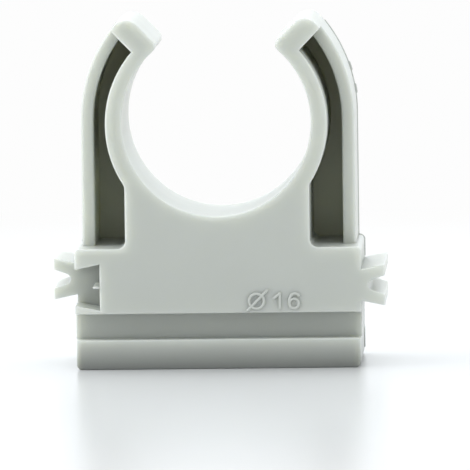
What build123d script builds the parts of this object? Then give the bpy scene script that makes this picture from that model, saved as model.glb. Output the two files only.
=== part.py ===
from build123d import *
import math
import os

os.makedirs("parts", exist_ok=True)

# A snap-in clip for rigid conduit, moulded in one piece of plastic.
# X runs along a row of clips, Y along the conduit and Z up from the surface the clip stands on.
# The origin is under the middle of the foot. All sizes are in millimetres.

# The seat: a ring that is open at the top, where the conduit snaps in.
# The ring's outside is centred a little lower, so the ring thins towards its lips.
conduit_diameter = 16.0
seat_bottom_height = 12.85
ring_wall = 1.38
ring_drop = 0.17
mouth_angle = 73.0
lead_in_angle = 45.0
lip_round = 0.6
tip_round = 1.3

# The arms: the ring is backed by a thin outer wall that starts behind the front, with a pocket
# between the two that a web closes at the back, and a solid block at the tip
pocket_width = 1.15
outer_wall = 1.07
outer_wall_setback = 4.5
outer_arc_shift = 1.0
web_thickness = 1.2
tip_block_angle = 41.0
tip_block_slope = 46.0
pocket_corner = 0.7
neck_round = 0.5

# The body, its neck under the ring, and the foot below a groove for a mounting rail
clip_depth = 16.0
shoulder_step = 0.5
shoulder_above_tails = 1.5
shoulder_corner = 0.4
neck_inset = 1.58
foot_thickness = 2.5
foot_inset = 0.1
foot_round = 0.45
groove_height = 2.2
groove_depth = 1.9

# The swallow tails at the sides, and the socket in front of the left one
tail_above_groove = 0.5
tail_length = 2.0
tail_root = 2.65
tail_end = 3.5
notch_depth = 1.4
notch_width = 1.62
notch_round = 0.45
left_tail_rise = 0.42
socket_floor_depth = 5.3
socket_side_clearance = 0.2
socket_end_clearance = 0.1
rib_length = 0.55
rib_thickness = 0.16

# The underside: a blind hole for a fixing stud, and a pocket each side of its boss
stud_hole = 5.2
stud_hole_depth = 9.0
boss_wall = 1.9
base_wall = 1.8
under_pocket_height = 7.2
under_pocket_corner = 0.6

# The small rounds that the edges of the moulding have
edge_round = 0.1
rim_round = 0.2

# Longer than the clip in any direction, for cutters that run right through it
past_all = 100.0

# Lengths that follow from the sizes above
seat_radius = conduit_diameter / 2
ring_radius = seat_radius + ring_wall
axis_height = seat_bottom_height + seat_radius
arm_reach = ring_radius + pocket_width + outer_wall
body_half = arm_reach + shoulder_step
body_bottom = foot_thickness + groove_height
tail_height = body_bottom + tail_above_groove + tail_end / 2
shoulder_height = tail_height + tail_end / 2 + shoulder_above_tails
mouth_half = seat_radius * math.sin(math.radians(mouth_angle / 2))
lip_height = axis_height + seat_radius * math.cos(math.radians(mouth_angle / 2))
neck_half = ring_radius - neck_inset
ring_height = axis_height - ring_drop
neck_top = ring_height - math.sqrt(ring_radius**2 - neck_half**2)
socket_depth = tail_length + socket_end_clearance
half_depth = clip_depth / 2
wall_front = half_depth - outer_wall_setback
web_front = web_thickness - half_depth
socket_floor = half_depth - socket_floor_depth


def block(left, bottom, right, top):
    """Rectangle of the front view between two corners."""
    return Pos((left + right) / 2, (bottom + top) / 2) * Rectangle(right - left, top - bottom)


def outline(*corners):
    """Closed face of the front view with straight sides."""
    return make_face(Polyline(*corners, close=True))


def corner_near(face, x, z):
    """The corner of a face that lies closest to a point of the front view."""
    return face.vertices().sort_by_distance((x, z, 0))[0]


def slab(face, back, front):
    """A face of the front view made solid, between two distances in front of the middle plane."""
    return extrude(Plane.XZ.offset(back) * face, amount=front - back)


def whole_depth(face):
    """A face of the front view, solid from the back of the clip to its front."""
    return slab(face, -half_depth, half_depth)


def both_sides(face):
    """A face of the right half with its mirror image on the left."""
    return face + mirror(face, about=Plane.YZ)


def arm_outline(reach):
    """Right half above the shoulders, out to an upright side that bends inwards over the ring."""
    upright = block(0, shoulder_height, reach, axis_height)
    disc = Pos(-outer_arc_shift, axis_height) * Circle(reach + outer_arc_shift)
    return upright + (disc & block(0, axis_height, past_all, past_all))


def arm():
    """Right arm, neck and half of the ring as one outline, with its rounded tip and lip."""
    rise = past_all * math.tan(math.radians(lead_in_angle))
    low = (mouth_half - past_all, lip_height - rise)
    high = (mouth_half + past_all, lip_height + rise)
    face = arm_outline(arm_reach) - Pos(0, axis_height) * Circle(seat_radius)
    face -= outline(low, high, (low[0], high[1]))
    tip = face.vertices().sort_by(Axis.Y)[-1]
    face = fillet(tip, tip_round)
    return fillet(corner_near(face, mouth_half, lip_height), lip_round)


def beside_ring(reach):
    """The space between ring, neck and tip block on the right, out to the reach given."""
    angle = math.radians(tip_block_angle)
    slope = math.radians(tip_block_slope)
    start = Vector(ring_radius * math.cos(angle), ring_height + ring_radius * math.sin(angle))
    run = Vector(math.cos(slope), math.sin(slope)) * past_all
    tip_block = outline(start - run, start + run, (-past_all, ring_height + past_all))
    face = arm_outline(reach) - Pos(0, ring_height) * Circle(ring_radius) - tip_block
    face -= block(-past_all, 0, neck_half, axis_height)
    face = fillet(corner_near(face, neck_half, neck_top), neck_round)
    return fillet(corner_near(face, neck_half, shoulder_height), pocket_corner)


def tail(side_growth=0.0, end_growth=0.0):
    """Swallow tail that points along +X from x = 0, grown on all sides for the socket it fits."""
    root = tail_root / 2 + side_growth
    end = tail_end / 2 + side_growth
    length = tail_length + end_growth
    return outline((0, -root), (length, -end), (length, end), (0, root))


def notched_tail():
    """Tail with a notch in its end, which leaves two prongs that can spring together."""
    centre = tail_length - notch_depth + notch_round
    bottom = Pos(centre, 0) * Circle(notch_round)
    mouth = Line((tail_length, -notch_width / 2), (tail_length, notch_width / 2))
    return tail() - make_hull(bottom.edges() + mouth.edges())


def moulding():
    """Body, ring, arms, foot and tails, still with sharp edges front and back."""
    front = block(-body_half, body_bottom, body_half, shoulder_height)
    front = fillet(front.vertices().group_by(Axis.Y)[-1], shoulder_corner)
    front += both_sides(arm()) + Pos(body_half, tail_height) * notched_tail()
    foot_half = body_half - foot_inset
    foot = block(-foot_half, 0, foot_half, foot_thickness)
    foot = fillet(foot.vertices().group_by(Axis.Y)[0], foot_round)
    core = block(-body_half, foot_thickness, body_half, body_bottom)
    core_half = half_depth - groove_depth
    solid = whole_depth(front) + whole_depth(foot) + slab(core, -core_half, core_half)

    solid -= slab(both_sides(beside_ring(past_all)), wall_front, past_all)
    solid -= slab(both_sides(beside_ring(arm_reach - outer_wall)), web_front, past_all)

    socket = Pos(-body_half, tail_height) * tail(socket_side_clearance, socket_end_clearance)
    solid -= slab(socket, socket_floor, past_all)
    left_tail = Pos(-body_half, tail_height + left_tail_rise) * mirror(notched_tail(), about=Plane.YZ)
    return solid + slab(left_tail, -half_depth, socket_floor)


def with_rounds(solid):
    """The moulding with rounded edges front and back, and rounded rims on the outer walls."""
    by_depth = solid.edges().group_by(Axis.Y)
    face_edges = by_depth[0] + by_depth[-1]
    # The lip under the socket is too thin for rounds on both sides, so its upper edge stays sharp
    lip_x = -body_half + socket_depth / 2
    lip_z = tail_height - (tail_root + tail_end) / 4 - socket_side_clearance
    lip = face_edges.sort_by_distance((lip_x, -half_depth, lip_z))[0]
    solid = fillet(face_edges.filter_by(lambda edge: edge != lip), edge_round)

    # The short edges across the ends of an outer wall are inner corners, and stay as they are
    at_walls = solid.edges().filter_by(lambda edge: math.isclose(edge.center().Y, -wall_front))
    return fillet(at_walls.filter_by(lambda edge: edge.length > 2 * outer_wall), rim_round)


def socket_rib():
    """Thin rib on the end of the socket, which stands between the prongs of a tail pushed in."""
    rib_end = socket_depth - body_half
    rib = block(rib_end - rib_length, tail_height - rib_thickness / 2, rib_end, tail_height + rib_thickness / 2)
    return slab(rib, socket_floor, half_depth)


def underside():
    """Cutter for the stud hole, and for the pockets that keep the walls around its boss even."""
    stud_radius = stud_hole / 2
    start = stud_radius + boss_wall
    end = body_half - socket_depth - base_wall
    half = half_depth - groove_depth - base_wall
    pocket = fillet(block(start, -half, end, half).vertices(), under_pocket_corner)
    return extrude(both_sides(pocket), amount=under_pocket_height) + extrude(Circle(stud_radius), amount=stud_hole_depth)


clip = with_rounds(moulding()) + socket_rib() - underside()
print("solids", len(clip.solids()), "valid", clip.is_valid, "volume", round(clip.volume, 1))
print(clip.bounding_box())
export_step(clip, "parts/conduit_clip.step")
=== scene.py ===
# %% [markdown]
# # A snap-in conduit clip in light grey plastic
#
# The clip is one injection moulding of light grey plastic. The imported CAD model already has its
# true shape, with the small rounds that a mould leaves on every edge. This lesson gives it the
# finish of moulded plastic, adds the raised size mark and a fine bead of flash, and photographs
# it on a white table. Blender counts in metres, so a length in millimetres is written times MM.

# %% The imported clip
import math

import bmesh
import bpy
import numpy as np
from mathutils import Matrix, Vector


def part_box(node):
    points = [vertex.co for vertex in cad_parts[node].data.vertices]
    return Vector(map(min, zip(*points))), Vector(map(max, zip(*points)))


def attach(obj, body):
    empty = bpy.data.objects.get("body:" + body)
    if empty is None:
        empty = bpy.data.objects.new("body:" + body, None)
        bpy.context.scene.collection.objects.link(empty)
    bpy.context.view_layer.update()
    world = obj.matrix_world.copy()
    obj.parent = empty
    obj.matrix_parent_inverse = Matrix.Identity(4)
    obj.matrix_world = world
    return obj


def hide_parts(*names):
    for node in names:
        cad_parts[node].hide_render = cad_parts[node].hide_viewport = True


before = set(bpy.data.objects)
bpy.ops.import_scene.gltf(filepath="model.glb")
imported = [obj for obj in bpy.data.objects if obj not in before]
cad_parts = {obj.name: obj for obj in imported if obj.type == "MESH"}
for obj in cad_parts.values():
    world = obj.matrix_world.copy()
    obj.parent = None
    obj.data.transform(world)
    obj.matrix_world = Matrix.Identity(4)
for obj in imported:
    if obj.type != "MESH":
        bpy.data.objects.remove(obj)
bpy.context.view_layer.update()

MM = 0.001
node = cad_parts["conduit_clip"]
low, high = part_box("conduit_clip")
print("clip, mm:", [round(side / MM, 2) for side in high - low])


# %% [markdown]
# ## Small helpers
#
# Colours are easiest to read as the hex values of a paint chart, but shaders work with linear
# light, so one function turns the first into the second. Another adds one node to a material,
# with its settings and its links, so that each material below reads as a list of its layers. A
# third starts a material with no nodes at all, so that it holds only those that are added here.

# %% Colour and node helpers
def linear(hex_colour):
    """An sRGB hex colour as linear red, green, blue and alpha, by the curve of that standard."""
    srgb = np.array([int(hex_colour[i:i + 2], 16) for i in (1, 3, 5)]) / 255
    light = np.where(srgb <= 0.04045, srgb / 12.92, ((srgb + 0.055) / 1.055) ** 2.4)
    return (*light, 1.0)


def add_node(tree, kind, settings=None, inputs=None):
    """Adds a node. Settings are its own properties, inputs are values or sockets to link from."""
    added = tree.nodes.new(kind)
    for name, value in (settings or {}).items():
        setattr(added, name, value)
    for name, value in (inputs or {}).items():
        if isinstance(value, bpy.types.NodeSocket):
            tree.links.new(value, added.inputs[name])
        else:
            added.inputs[name].default_value = value
    return added


def new_material(name):
    """A new material with no nodes yet, and its node tree."""
    material = bpy.data.materials.new(name)
    material.use_nodes = True
    material.node_tree.nodes.clear()
    return material, material.node_tree


print("middle grey as linear light:", [round(v, 3) for v in linear("#808080")[:3]])


# %% [markdown]
# ## The colour of the plastic
#
# Conduit fittings are moulded from rigid PVC or polycarbonate blends, coloured right through in
# a light grey. The eye sees a soft grey with faint clouds where the melt flowed, and now and
# then a dark speck of burnt pigment. An image could be painted for both, but noise in space
# needs no unwrapping, and it runs on over the edges as pigment in the plastic does.

# %% Light grey with flow clouds and specks
LIGHT_GREY = "#d3d6cf"
CLOUD_GREY = "#cfd2cb"
CLOUD_SIZE = 5 * MM
SPECK_BROWN = "#6b665c"
SPECK_SPACING = 2.6 * MM
SPECK_RADIUS = 0.05 * MM
SPECKLESS_SHARE = 0.6
COLOUR_MIX = {"data_type": "RGBA"}


def pigment(tree, place, cloudiness):
    """Light grey that is barely darker in the clouds, with specks.

    A speck is a small ball round the middle of a cell, and only the cells whose own random
    number is high have one.
    """
    clouded = add_node(tree, "ShaderNodeMix", COLOUR_MIX,
                       {"Factor": cloudiness, "A": linear(LIGHT_GREY), "B": linear(CLOUD_GREY)})
    cells = add_node(tree, "ShaderNodeTexVoronoi", None,
                     {"Vector": place, "Scale": 1 / SPECK_SPACING, "Randomness": 1.0})
    near_middle = add_node(tree, "ShaderNodeMath", {"operation": "LESS_THAN"},
                           {0: cells.outputs["Distance"], 1: SPECK_RADIUS / SPECK_SPACING})
    chance = add_node(tree, "ShaderNodeSeparateColor", None, {"Color": cells.outputs["Color"]})
    kept = add_node(tree, "ShaderNodeMath", {"operation": "GREATER_THAN"},
                    {0: chance.outputs["Red"], 1: SPECKLESS_SHARE})
    speck = add_node(tree, "ShaderNodeMath", {"operation": "MULTIPLY"},
                     {0: near_middle.outputs[0], 1: kept.outputs[0]})
    specked = add_node(tree, "ShaderNodeMix", COLOUR_MIX,
                       {"Factor": speck.outputs[0], "A": clouded.outputs["Result"],
                        "B": linear(SPECK_BROWN)})
    return specked.outputs["Result"]


print("pigment:", LIGHT_GREY, "to", CLOUD_GREY, "with specks of", SPECK_BROWN)


# %% [markdown]
# ## Painted shade in the corners and down the foot
#
# The groove and the inner corners are greyed with a painted shade, where little light reaches. An
# ambient occlusion node finds them by how close other surfaces are, so no mask has to be painted.
# The foot greys towards the edge it stands on, a painted shade where it meets the table.
# That grey depends only on the height above the underside.

# %% Painted shade in the corners and down the foot
# Greys, reach and shares of the shade painted into the corners and down the foot
CORNER_SHADE_GREY = "#8f918c"
CORNER_SHADE_REACH = 2.5 * MM
CORNER_SHADE_SAMPLES = 6
CORNER_SHADE_SHARE = 0.3
SHADED_OPENNESS = 0.4
UNSHADED_OPENNESS = 0.9
FOOT_SHADE_GREY = "#787a75"
FOOT_SHADE_TOP = 2.5 * MM
FOOT_SHADE_SHARE = 0.85


def with_painted_shade(tree, place, colour):
    """The colour mixed with grey as painted shade where little is open to the sky, then with grey
    as painted shade down the foot.
    """
    # Painted shade in the groove, pockets and inner corners: grey is mixed in where other surfaces
    # are close
    openness = add_node(tree, "ShaderNodeAmbientOcclusion", {"samples": CORNER_SHADE_SAMPLES},
                        {"Distance": CORNER_SHADE_REACH})
    corner_shade = add_node(tree, "ShaderNodeMapRange", None,
                    {"Value": openness.outputs["AO"], "From Min": SHADED_OPENNESS,
                     "From Max": UNSHADED_OPENNESS, "To Min": CORNER_SHADE_SHARE, "To Max": 0.0})
    corner_shaded = add_node(tree, "ShaderNodeMix", COLOUR_MIX,
                     {"Factor": corner_shade.outputs[0], "A": colour, "B": linear(CORNER_SHADE_GREY)})
    # Painted shade down the foot: grey is mixed in more the nearer the underside, on every side of
    # the foot
    height = add_node(tree, "ShaderNodeSeparateXYZ", None, {"Vector": place}).outputs["Z"]
    foot_shade = add_node(tree, "ShaderNodeMapRange", None,
                       {"Value": height, "From Min": 0.0, "From Max": FOOT_SHADE_TOP,
                        "To Min": FOOT_SHADE_SHARE, "To Max": 0.0})
    foot_shaded = add_node(tree, "ShaderNodeMix", COLOUR_MIX,
                      {"Factor": foot_shade.outputs[0], "A": corner_shaded.outputs["Result"],
                       "B": linear(FOOT_SHADE_GREY)})
    return foot_shaded.outputs["Result"]


# How far the painted corner shade reaches, in millimetres
print("dust reaches, mm:", round(CORNER_SHADE_REACH / MM, 1))


# %% [markdown]
# ## Skin and glow
#
# The mould's spark-eroded walls give the skin a very fine grain and a satin sheen, a little
# duller in the clouds. Light sinks more than a millimetre into the plastic before it comes out
# again. A painted colour would leave the deep pockets black and the thin walls flat, and
# subsurface scattering makes the walls glow and the pockets a warm olive. There is a second
# plastic without that glow, for the strokes and the bead further down.

# %% Moulded grey plastic
GRAIN_SIZE = 0.12 * MM
GRAIN_HEIGHT = 0.02 * MM
GRAIN_STRENGTH = 0.08
SKIN_ROUGHNESS = 0.26
CLOUD_ROUGHNESS = 0.36
PLASTIC_IOR = 1.53
GLOW_DEPTH = 1.6 * MM
GLOW_REACH = (1.0, 0.97, 0.85)


def moulded_plastic(name, glow_share):
    """Satin light grey plastic: pigment and painted shade under a finely grained skin."""
    material, tree = new_material(name)
    place = add_node(tree, "ShaderNodeTexCoord").outputs["Object"]
    cloud = add_node(tree, "ShaderNodeTexNoise", None,
                     {"Vector": place, "Scale": 1 / CLOUD_SIZE, "Detail": 2.0, "Roughness": 0.5})
    cloudiness = cloud.outputs["Fac"]
    # The pigment, with painted shade in the corners and down the foot
    colour = with_painted_shade(tree, place, pigment(tree, place, cloudiness))
    roughness = add_node(tree, "ShaderNodeMapRange", None,
                         {"Value": cloudiness, "To Min": SKIN_ROUGHNESS,
                          "To Max": CLOUD_ROUGHNESS})

    # Real spark erosion is finer still, and is drawn this coarse so that it can show
    grain = add_node(tree, "ShaderNodeTexNoise", None,
                     {"Vector": place, "Scale": 1 / GRAIN_SIZE, "Detail": 2.0, "Roughness": 0.6})
    relief = add_node(tree, "ShaderNodeBump", None,
                      {"Height": grain.outputs["Fac"], "Strength": GRAIN_STRENGTH,
                       "Distance": GRAIN_HEIGHT})
    surface = add_node(tree, "ShaderNodeBsdfPrincipled", None,
                       {"Base Color": colour, "Roughness": roughness.outputs[0],
                        "Normal": relief.outputs["Normal"], "IOR": PLASTIC_IOR,
                        "Subsurface Weight": glow_share, "Subsurface Radius": GLOW_REACH,
                        "Subsurface Scale": GLOW_DEPTH})
    add_node(tree, "ShaderNodeOutputMaterial", None, {"Surface": surface.outputs["BSDF"]})
    return material


plastic = moulded_plastic("moulded_grey_plastic", 1.0)
mark_plastic = moulded_plastic("moulded_grey_mark", 0.0)
print("plastic nodes:", len(plastic.node_tree.nodes))


# %% [markdown]
# ## The clip's surface
#
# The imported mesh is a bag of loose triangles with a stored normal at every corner, so every
# facet of a round edge would show. The node itself is left alone. A copy has its triangles
# joined, its stored normals dropped, and is shaded smooth except where two faces meet at a real
# corner. Weighted normals keep the large flat faces flat in the light, and let the small rounds
# carry all of the turn between them, as a moulded edge does.

# %% A smooth copy of the moulding
CORNER_ANGLE = math.radians(52)
JOIN_DISTANCE = 0.0002 * MM


def smooth_copy(source, name):
    """Copy of a CAD node with its triangles joined and its curved faces shaded smooth."""
    mesh = source.data.copy()
    joined = bmesh.new()
    joined.from_mesh(mesh)
    bmesh.ops.remove_doubles(joined, verts=joined.verts, dist=JOIN_DISTANCE)
    joined.normal_update()
    for face in joined.faces:
        face.smooth = True
    for edge in joined.edges:
        edge.smooth = edge.calc_face_angle(0) < CORNER_ANGLE
    joined.to_mesh(mesh)
    joined.free()
    mesh.attributes.remove(mesh.attributes["custom_normal"])
    copy = bpy.data.objects.new(name, mesh)
    bpy.context.scene.collection.objects.link(copy)
    weighted = copy.modifiers.new("weighted_normals", "WEIGHTED_NORMAL")
    weighted.keep_sharp = True
    return copy


moulding = smooth_copy(node, "clip_moulding")
moulding.data.materials.clear()
moulding.data.materials.append(plastic)
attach(moulding, "root")
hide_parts("conduit_clip")
print("moulding:", len(node.data.vertices), "loose vertices became", len(moulding.data.vertices))


# %% [markdown]
# ## Raised strokes
#
# The front carries the conduit's size as raised strokes: the diameter sign, a one and a six.
# They were engraved in the mould with a round-nosed cutter, so each stroke is a low rounded
# ridge. A ridge is worked out here as a grid: along the stroke's path one way, and round an
# ellipse that is half sunk in the face the other way. The strokes are too low to glow, and
# scattering would also find the face they are sunk in, so they take the plastic without it.

# %% A ridge along a path
STEPS_ROUND = 12
STEPS_END = 5


def ridge(path, width, height):
    """Points of a closed ridge along a path in the front view, as a grid.

    A point is the path's point, plus the path's side direction times half the width times the
    cosine of an angle, plus the way out of the face times the height times its sine. At both
    ends the path runs on by half a width while the ellipse shrinks along a half circle.
    """
    along = np.gradient(path, axis=0)
    along /= np.linalg.norm(along, axis=1, keepdims=True)
    turn = np.linspace(0, math.pi / 2, STEPS_END)
    reach = np.sin(turn)[1:, None] * width / 2
    start = path[0] - along[0] * reach[::-1]
    end = path[-1] + along[-1] * reach
    middle = np.vstack([start, path, end])
    ahead = np.vstack([np.repeat(along[:1], len(start), 0), along,
                       np.repeat(along[-1:], len(end), 0)])
    shrink = np.cos(turn)[1:]
    size = np.concatenate([shrink[::-1], np.ones(len(path)), shrink])
    side = np.column_stack([ahead[:, 1], -ahead[:, 0]])
    angle = np.linspace(0, 2 * math.pi, STEPS_ROUND, endpoint=False)
    across = size[:, None] * np.cos(angle) * width / 2
    out = size[:, None] * np.sin(angle) * height
    x = middle[:, :1] + side[:, :1] * across
    z = middle[:, 1:] + side[:, 1:] * across
    return np.stack([x, -out, z], axis=2)


print("one ridge has", STEPS_ROUND, "points round it")


# %% Paths, and an object with a ridge along each
def arc(centre, half_width, half_height, first, last, steps=48):
    """Path along an ellipse, between two angles in degrees, counted from +X towards +Z."""
    angle = np.radians(np.linspace(first, last, steps))
    return np.column_stack([centre[0] + half_width * np.cos(angle),
                            centre[1] + half_height * np.sin(angle)])


def line(start, end, steps=12):
    """Straight path: shares of the way from one point to the other."""
    share = np.linspace(0, 1, steps)[:, None]
    return np.array(start) * (1 - share) + np.array(end) * share


def ridges(name, paths, width, height, depth):
    """Object with a ridge along each path, all at one depth, in the plastic without glow."""
    points = []
    faces = []
    count = 0
    for path in paths:
        grid = ridge(path, width, height)
        rings, round_steps = grid.shape[:2]
        number = count + np.arange(rings * round_steps).reshape(rings, round_steps)
        following = np.roll(number, -1, axis=1)
        quads = np.stack([number[:-1], number[1:], following[1:], following[:-1]], axis=2)
        faces += quads.reshape(-1, 4).tolist()
        points.append(grid.reshape(-1, 3))
        count += rings * round_steps
    placed = np.vstack(points) + [0, depth, 0]
    mesh = bpy.data.meshes.new(name)
    mesh.from_pydata(placed.tolist(), [], faces)
    closed = bmesh.new()
    closed.from_mesh(mesh)
    bmesh.ops.remove_doubles(closed, verts=closed.verts, dist=JOIN_DISTANCE)
    bmesh.ops.recalc_face_normals(closed, faces=closed.faces)
    closed.to_mesh(mesh)
    closed.free()
    mesh.shade_smooth()
    mesh.materials.append(mark_plastic)
    made = bpy.data.objects.new(name, mesh)
    bpy.context.scene.collection.objects.link(made)
    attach(made, "root")
    return made


print("a full circle has", len(arc((0, 0), 1, 1, 0, 360)), "points")


# %% The size mark
STROKE_WIDTH = 0.26 * MM
STROKE_HEIGHT = 0.13 * MM
FRONT = low.y
MARK_BASE = 5.05 * MM
MARK_TOP = 6.30 * MM
SIGN_MIDDLE = 3.25 * MM
SLASH_BELOW = 1.2
SLASH_ABOVE = 1.45
ONE_STEM = 5.22 * MM
FLAG_REACH = 0.5 * MM
FLAG_DROP = 0.38 * MM
SIX_MIDDLE = 6.42 * MM
BOWL_RADIUS = 0.40 * MM
HOOK_SHIFT = 0.08 * MM
HOOK_HALF_WIDTH = 0.48 * MM
HOOK_HALF_HEIGHT = 0.68 * MM
HOOK_START = 50
HOOK_END = 200


def size_mark_paths():
    """Middle lines of the diameter sign, the one and the six.

    The sign is a circle with a slash that runs past it by shares of its radius. The one is a
    stem with a flag. The six is a round bowl, with part of a taller ellipse for its back.
    """
    middle = (MARK_BASE + MARK_TOP) / 2
    half = (MARK_TOP - MARK_BASE) / 2
    return [
        arc((SIGN_MIDDLE, middle), half, half, 0, 360),
        line((SIGN_MIDDLE - SLASH_BELOW * half, middle - SLASH_BELOW * half),
             (SIGN_MIDDLE + SLASH_ABOVE * half, middle + SLASH_ABOVE * half)),
        line((ONE_STEM, MARK_BASE), (ONE_STEM, MARK_TOP)),
        line((ONE_STEM - FLAG_REACH, MARK_TOP - FLAG_DROP), (ONE_STEM, MARK_TOP)),
        arc((SIX_MIDDLE, MARK_BASE + BOWL_RADIUS), BOWL_RADIUS, BOWL_RADIUS, 0, 360),
        arc((SIX_MIDDLE + HOOK_SHIFT, MARK_TOP - HOOK_HALF_HEIGHT),
            HOOK_HALF_WIDTH, HOOK_HALF_HEIGHT, HOOK_START, HOOK_END),
    ]


mark = ridges("size_mark", size_mark_paths(), STROKE_WIDTH, STROKE_HEIGHT, FRONT)
print("size mark:", len(mark.data.polygons), "faces")


# %% [markdown]
# ## The parting line
#
# All the pockets open to the front, so the mould parts along the back face. A little plastic
# creeps into the joint there and leaves a fine bead of flash along the back edges of arms, body
# and foot. From the front it shows as a thin grey line beyond the pale side face, with two
# torn spots on the right arm. The bead is the same kind of ridge as the strokes of the mark,
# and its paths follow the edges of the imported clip, whose places are written out here.

# %% A bead of flash along the back edges
FLASH_WIDTH = 0.17 * MM
FLASH_HEIGHT = 0.08 * MM
FLASH_SETBACK = 0.12 * MM
FLASH_DEPTH = high.y - FLASH_SETBACK
ARM_SIDE = 11.6 * MM
ARM_BEND = (-1.0 * MM, 20.85 * MM)
ARM_BEND_RADIUS = ARM_SIDE - ARM_BEND[0]
ARM_BEND_END = 38
SHOULDER_TOP = 10.2 * MM
SHOULDER_ROUND = 0.4 * MM
SHOULDER_GAP = 0.1 * MM
BODY_SIDE = 12.1 * MM
ABOVE_TAIL = 8.45 * MM
BELOW_TAIL_SPAN = (4.85 * MM, 5.45 * MM)
FOOT_SIDE = 12.0 * MM
FOOT_SPAN = (0.6 * MM, 2.35 * MM)


def flash_paths():
    """Middle lines of the bead on the right, from the foot up.

    The foot and the body below the tail have a straight one each. Above the tail it turns over
    the shoulder on a quarter circle. On the arm it goes up, then round with the bend.
    """
    bend = arc(ARM_BEND, ARM_BEND_RADIUS, ARM_BEND_RADIUS, 0, ARM_BEND_END)
    upright = line((ARM_SIDE, SHOULDER_TOP + SHOULDER_GAP), (ARM_SIDE, ARM_BEND[1]), steps=30)
    corner = (BODY_SIDE - SHOULDER_ROUND, SHOULDER_TOP - SHOULDER_ROUND)
    shoulder = arc(corner, SHOULDER_ROUND, SHOULDER_ROUND, 90, 0, steps=16)
    side = line((BODY_SIDE, corner[1]), (BODY_SIDE, ABOVE_TAIL))
    return [
        line((FOOT_SIDE, FOOT_SPAN[0]), (FOOT_SIDE, FOOT_SPAN[1])),
        line((BODY_SIDE, BELOW_TAIL_SPAN[0]), (BODY_SIDE, BELOW_TAIL_SPAN[1])),
        np.vstack([shoulder, side[1:]]),
        np.vstack([upright, bend[1:]]),
    ]


right_side = flash_paths()
left_side = [path * (-1, 1) for path in right_side]
flash = ridges("flash_bead", right_side + left_side, FLASH_WIDTH, FLASH_HEIGHT, FLASH_DEPTH)
print("flash:", len(flash.data.polygons), "faces")


# %% Two torn spots in the bead
TEAR_WIDTH = 0.36 * MM
TEAR_HEIGHT = 0.10 * MM
TEAR_STARTS = (7.4, 16.4)
TEAR_SPREAD = 2.6

tears = [arc(ARM_BEND, ARM_BEND_RADIUS, ARM_BEND_RADIUS, start, start + TEAR_SPREAD, steps=12)
         for start in TEAR_STARTS]
torn = ridges("flash_tears", tears, TEAR_WIDTH, TEAR_HEIGHT, FLASH_DEPTH)
print("torn spots:", len(torn.data.polygons), "faces")


# %% [markdown]
# ## The table
#
# The clip stands on a white table that runs on behind it without a corner. Its lacquer is smooth
# enough to mirror the foot, blurred and fading towards the camera, because it is seen almost
# edge on. Further off, the camera and the reflections see the table as plain white, which the
# light-path node does in the table's own material, so that no extra light falls on the clip.
# The table lies a hundredth of a millimetre below the foot, or the two faces would flicker.

# %% White table
TABLE_HALF = 1.5
TABLE_GAP = 0.01 * MM
SHADOW_NEAR = 0.07
SHADOW_FAR = 0.20
LACQUER_WHITE = "#dfdfdf"
LACQUER_ROUGHNESS = 0.24
LACQUER_IOR = 1.4
PLAIN_WHITE = "#fdfdfd"


def white_table_finish():
    """Satin white lacquer that turns to plain white for the camera away from the clip."""
    material, tree = new_material("white_table")
    place = add_node(tree, "ShaderNodeTexCoord").outputs["Object"]
    away = add_node(tree, "ShaderNodeVectorMath", {"operation": "LENGTH"}, {0: place})
    fade = add_node(tree, "ShaderNodeMapRange", {"interpolation_type": "SMOOTHSTEP"},
                    {"Value": away.outputs["Value"], "From Min": SHADOW_NEAR,
                     "From Max": SHADOW_FAR})
    rays = add_node(tree, "ShaderNodeLightPath")
    seen = add_node(tree, "ShaderNodeMath", {"operation": "MAXIMUM"},
                    {0: rays.outputs["Is Camera Ray"], 1: rays.outputs["Is Glossy Ray"]})
    share = add_node(tree, "ShaderNodeMath", {"operation": "MULTIPLY"},
                     {0: fade.outputs[0], 1: seen.outputs[0]})
    lacquer = add_node(tree, "ShaderNodeBsdfPrincipled", None,
                       {"Base Color": linear(LACQUER_WHITE), "Roughness": LACQUER_ROUGHNESS,
                        "IOR": LACQUER_IOR})
    white = add_node(tree, "ShaderNodeEmission", None,
                     {"Color": linear(PLAIN_WHITE), "Strength": 1.0})
    both = add_node(tree, "ShaderNodeMixShader", None,
                    {0: share.outputs[0], 1: lacquer.outputs[0], 2: white.outputs[0]})
    add_node(tree, "ShaderNodeOutputMaterial", None, {"Surface": both.outputs[0]})
    return material


table_corners = [(-TABLE_HALF, -TABLE_HALF, 0), (TABLE_HALF, -TABLE_HALF, 0),
                 (TABLE_HALF, TABLE_HALF, 0), (-TABLE_HALF, TABLE_HALF, 0)]
table_mesh = bpy.data.meshes.new("table")
table_mesh.from_pydata(table_corners, [], [(0, 1, 2, 3)])
table = bpy.data.objects.new("table", table_mesh)
bpy.context.scene.collection.objects.link(table)
table.location.z = low.z - TABLE_GAP
table.data.materials.append(white_table_finish())
print("table, m:", 2 * TABLE_HALF, "square")


# %% [markdown]
# ## Light
#
# The photograph's light is a white tent that is open towards the camera. Fronts face the dim
# opening and are a mid grey, while tops, sides and the seat's wall are almost white. The world
# gives the tent, with a glow that falls off towards the camera. A white tent tints its light
# very slightly blue. The camera sees the world as plain white behind the table.

# %% Tent glow
TENT_FRONT = 0.6
TENT_REST = 1.22
TENT_WHITE = "#f8fcff"

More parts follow.
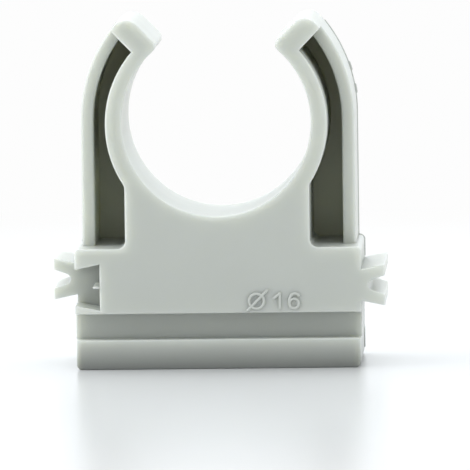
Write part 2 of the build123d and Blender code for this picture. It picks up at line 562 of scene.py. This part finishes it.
world = bpy.data.worlds.new("light_tent")
bpy.context.scene.world = world
world.use_nodes = True
tent = world.node_tree
tent.nodes.clear()
direction = add_node(tent, "ShaderNodeTexCoord").outputs["Generated"]
towards = add_node(tent, "ShaderNodeSeparateXYZ", None, {"Vector": direction})
strength = add_node(tent, "ShaderNodeMapRange", None,
                    {"Value": towards.outputs["Y"], "From Min": -1.0, "From Max": 0.0,
                     "To Min": TENT_FRONT, "To Max": TENT_REST})
glow = add_node(tent, "ShaderNodeBackground", None,
                {"Color": linear(TENT_WHITE), "Strength": strength.outputs[0]})
seen_white = add_node(tent, "ShaderNodeBackground", None,
                      {"Color": linear(PLAIN_WHITE), "Strength": 1.0})
tent_rays = add_node(tent, "ShaderNodeLightPath")
tent_mix = add_node(tent, "ShaderNodeMixShader", None,
                    {0: tent_rays.outputs["Is Camera Ray"], 1: glow.outputs[0],
                     2: seen_white.outputs[0]})
add_node(tent, "ShaderNodeOutputWorld", None, {"Surface": tent_mix.outputs[0]})
print("tent glow:", TENT_FRONT, "in front,", TENT_REST, "elsewhere")


# %% [markdown]
# Two large soft lamps stand in the tent. One is above and behind the clip, and leaves the table
# in front of the foot in a soft shadow. The other is at the left, where the photograph's walls
# are the lightest. Their tint is the tent's.

# %% Two soft lamps
LAMP_SIDE = 0.5
OVERHEAD_PLACE = Vector((0.0, 0.30, 0.50))
OVERHEAD_POWER = 1.0
LEFT_PLACE = Vector((-0.50, -0.05, 0.25))
LEFT_POWER = 1.2


def add_lamp(name, place, power):
    """A square soft lamp that points at the clip."""
    data = bpy.data.lights.new(name, "AREA")
    data.shape = "SQUARE"
    data.size = LAMP_SIDE
    data.energy = power
    data.color = linear(TENT_WHITE)[:3]
    added = bpy.data.objects.new(name, data)
    bpy.context.scene.collection.objects.link(added)
    added.location = place
    added.rotation_mode = "QUATERNION"
    added.rotation_quaternion = (-place).to_track_quat("-Z", "Y")
    return added


overhead_lamp = add_lamp("overhead_lamp", OVERHEAD_PLACE, OVERHEAD_POWER)
left_lamp = add_lamp("left_lamp", LEFT_PLACE, LEFT_POWER)
print("lamps:", overhead_lamp.name, left_lamp.name)


# %% [markdown]
# ## Camera
#
# The photograph was taken from almost a metre away with a long lens, a little above the clip
# and a touch to its right. The distance comes from how much the clip's back edges shrink
# against its front edges, and the height from how far they shift up. The lens follows from the
# distance and from how many pixels a millimetre of the front face covers.

# %% A long lens almost straight in front
CAMERA_DISTANCE = 0.96
CAMERA_HEIGHT_ANGLE = math.radians(3.75)
CAMERA_SIDE_ANGLE = math.radians(1.8)
CAMERA_ROLL = math.radians(-0.73)
NEAR_LIMIT = 0.1
FAR_LIMIT = 10
PIXELS_PER_MM = 11.85
IMAGE_SIDE = 470
SENSOR_WIDTH = 36.0
AIM = Vector((1.5 * MM, low.y, 11.3 * MM))

camera_data = bpy.data.cameras.new("camera")
camera_data.sensor_width = SENSOR_WIDTH
camera_data.lens = SENSOR_WIDTH * CAMERA_DISTANCE / MM * PIXELS_PER_MM / IMAGE_SIDE
camera_data.clip_start = NEAR_LIMIT
camera_data.clip_end = FAR_LIMIT
camera = bpy.data.objects.new("camera", camera_data)
bpy.context.scene.collection.objects.link(camera)
back = Vector((math.sin(CAMERA_SIDE_ANGLE) * math.cos(CAMERA_HEIGHT_ANGLE),
               -math.cos(CAMERA_SIDE_ANGLE) * math.cos(CAMERA_HEIGHT_ANGLE),
               math.sin(CAMERA_HEIGHT_ANGLE)))
looking = (-back).to_track_quat("-Z", "Y").to_matrix().to_4x4()
standing = Matrix.Translation(AIM + back * CAMERA_DISTANCE)
camera.matrix_world = standing @ looking @ Matrix.Rotation(CAMERA_ROLL, 4, "Z")
bpy.context.scene.camera = camera
print("lens, mm:", round(camera_data.lens))


# %% [markdown]
# ## Finish
#
# The view transform is Standard, so a colour renders as it is written. The finished clip differs
# from the packed one only at the front, by the height of the raised mark.

# %% The view transform
bpy.context.scene.view_settings.view_transform = "Standard"
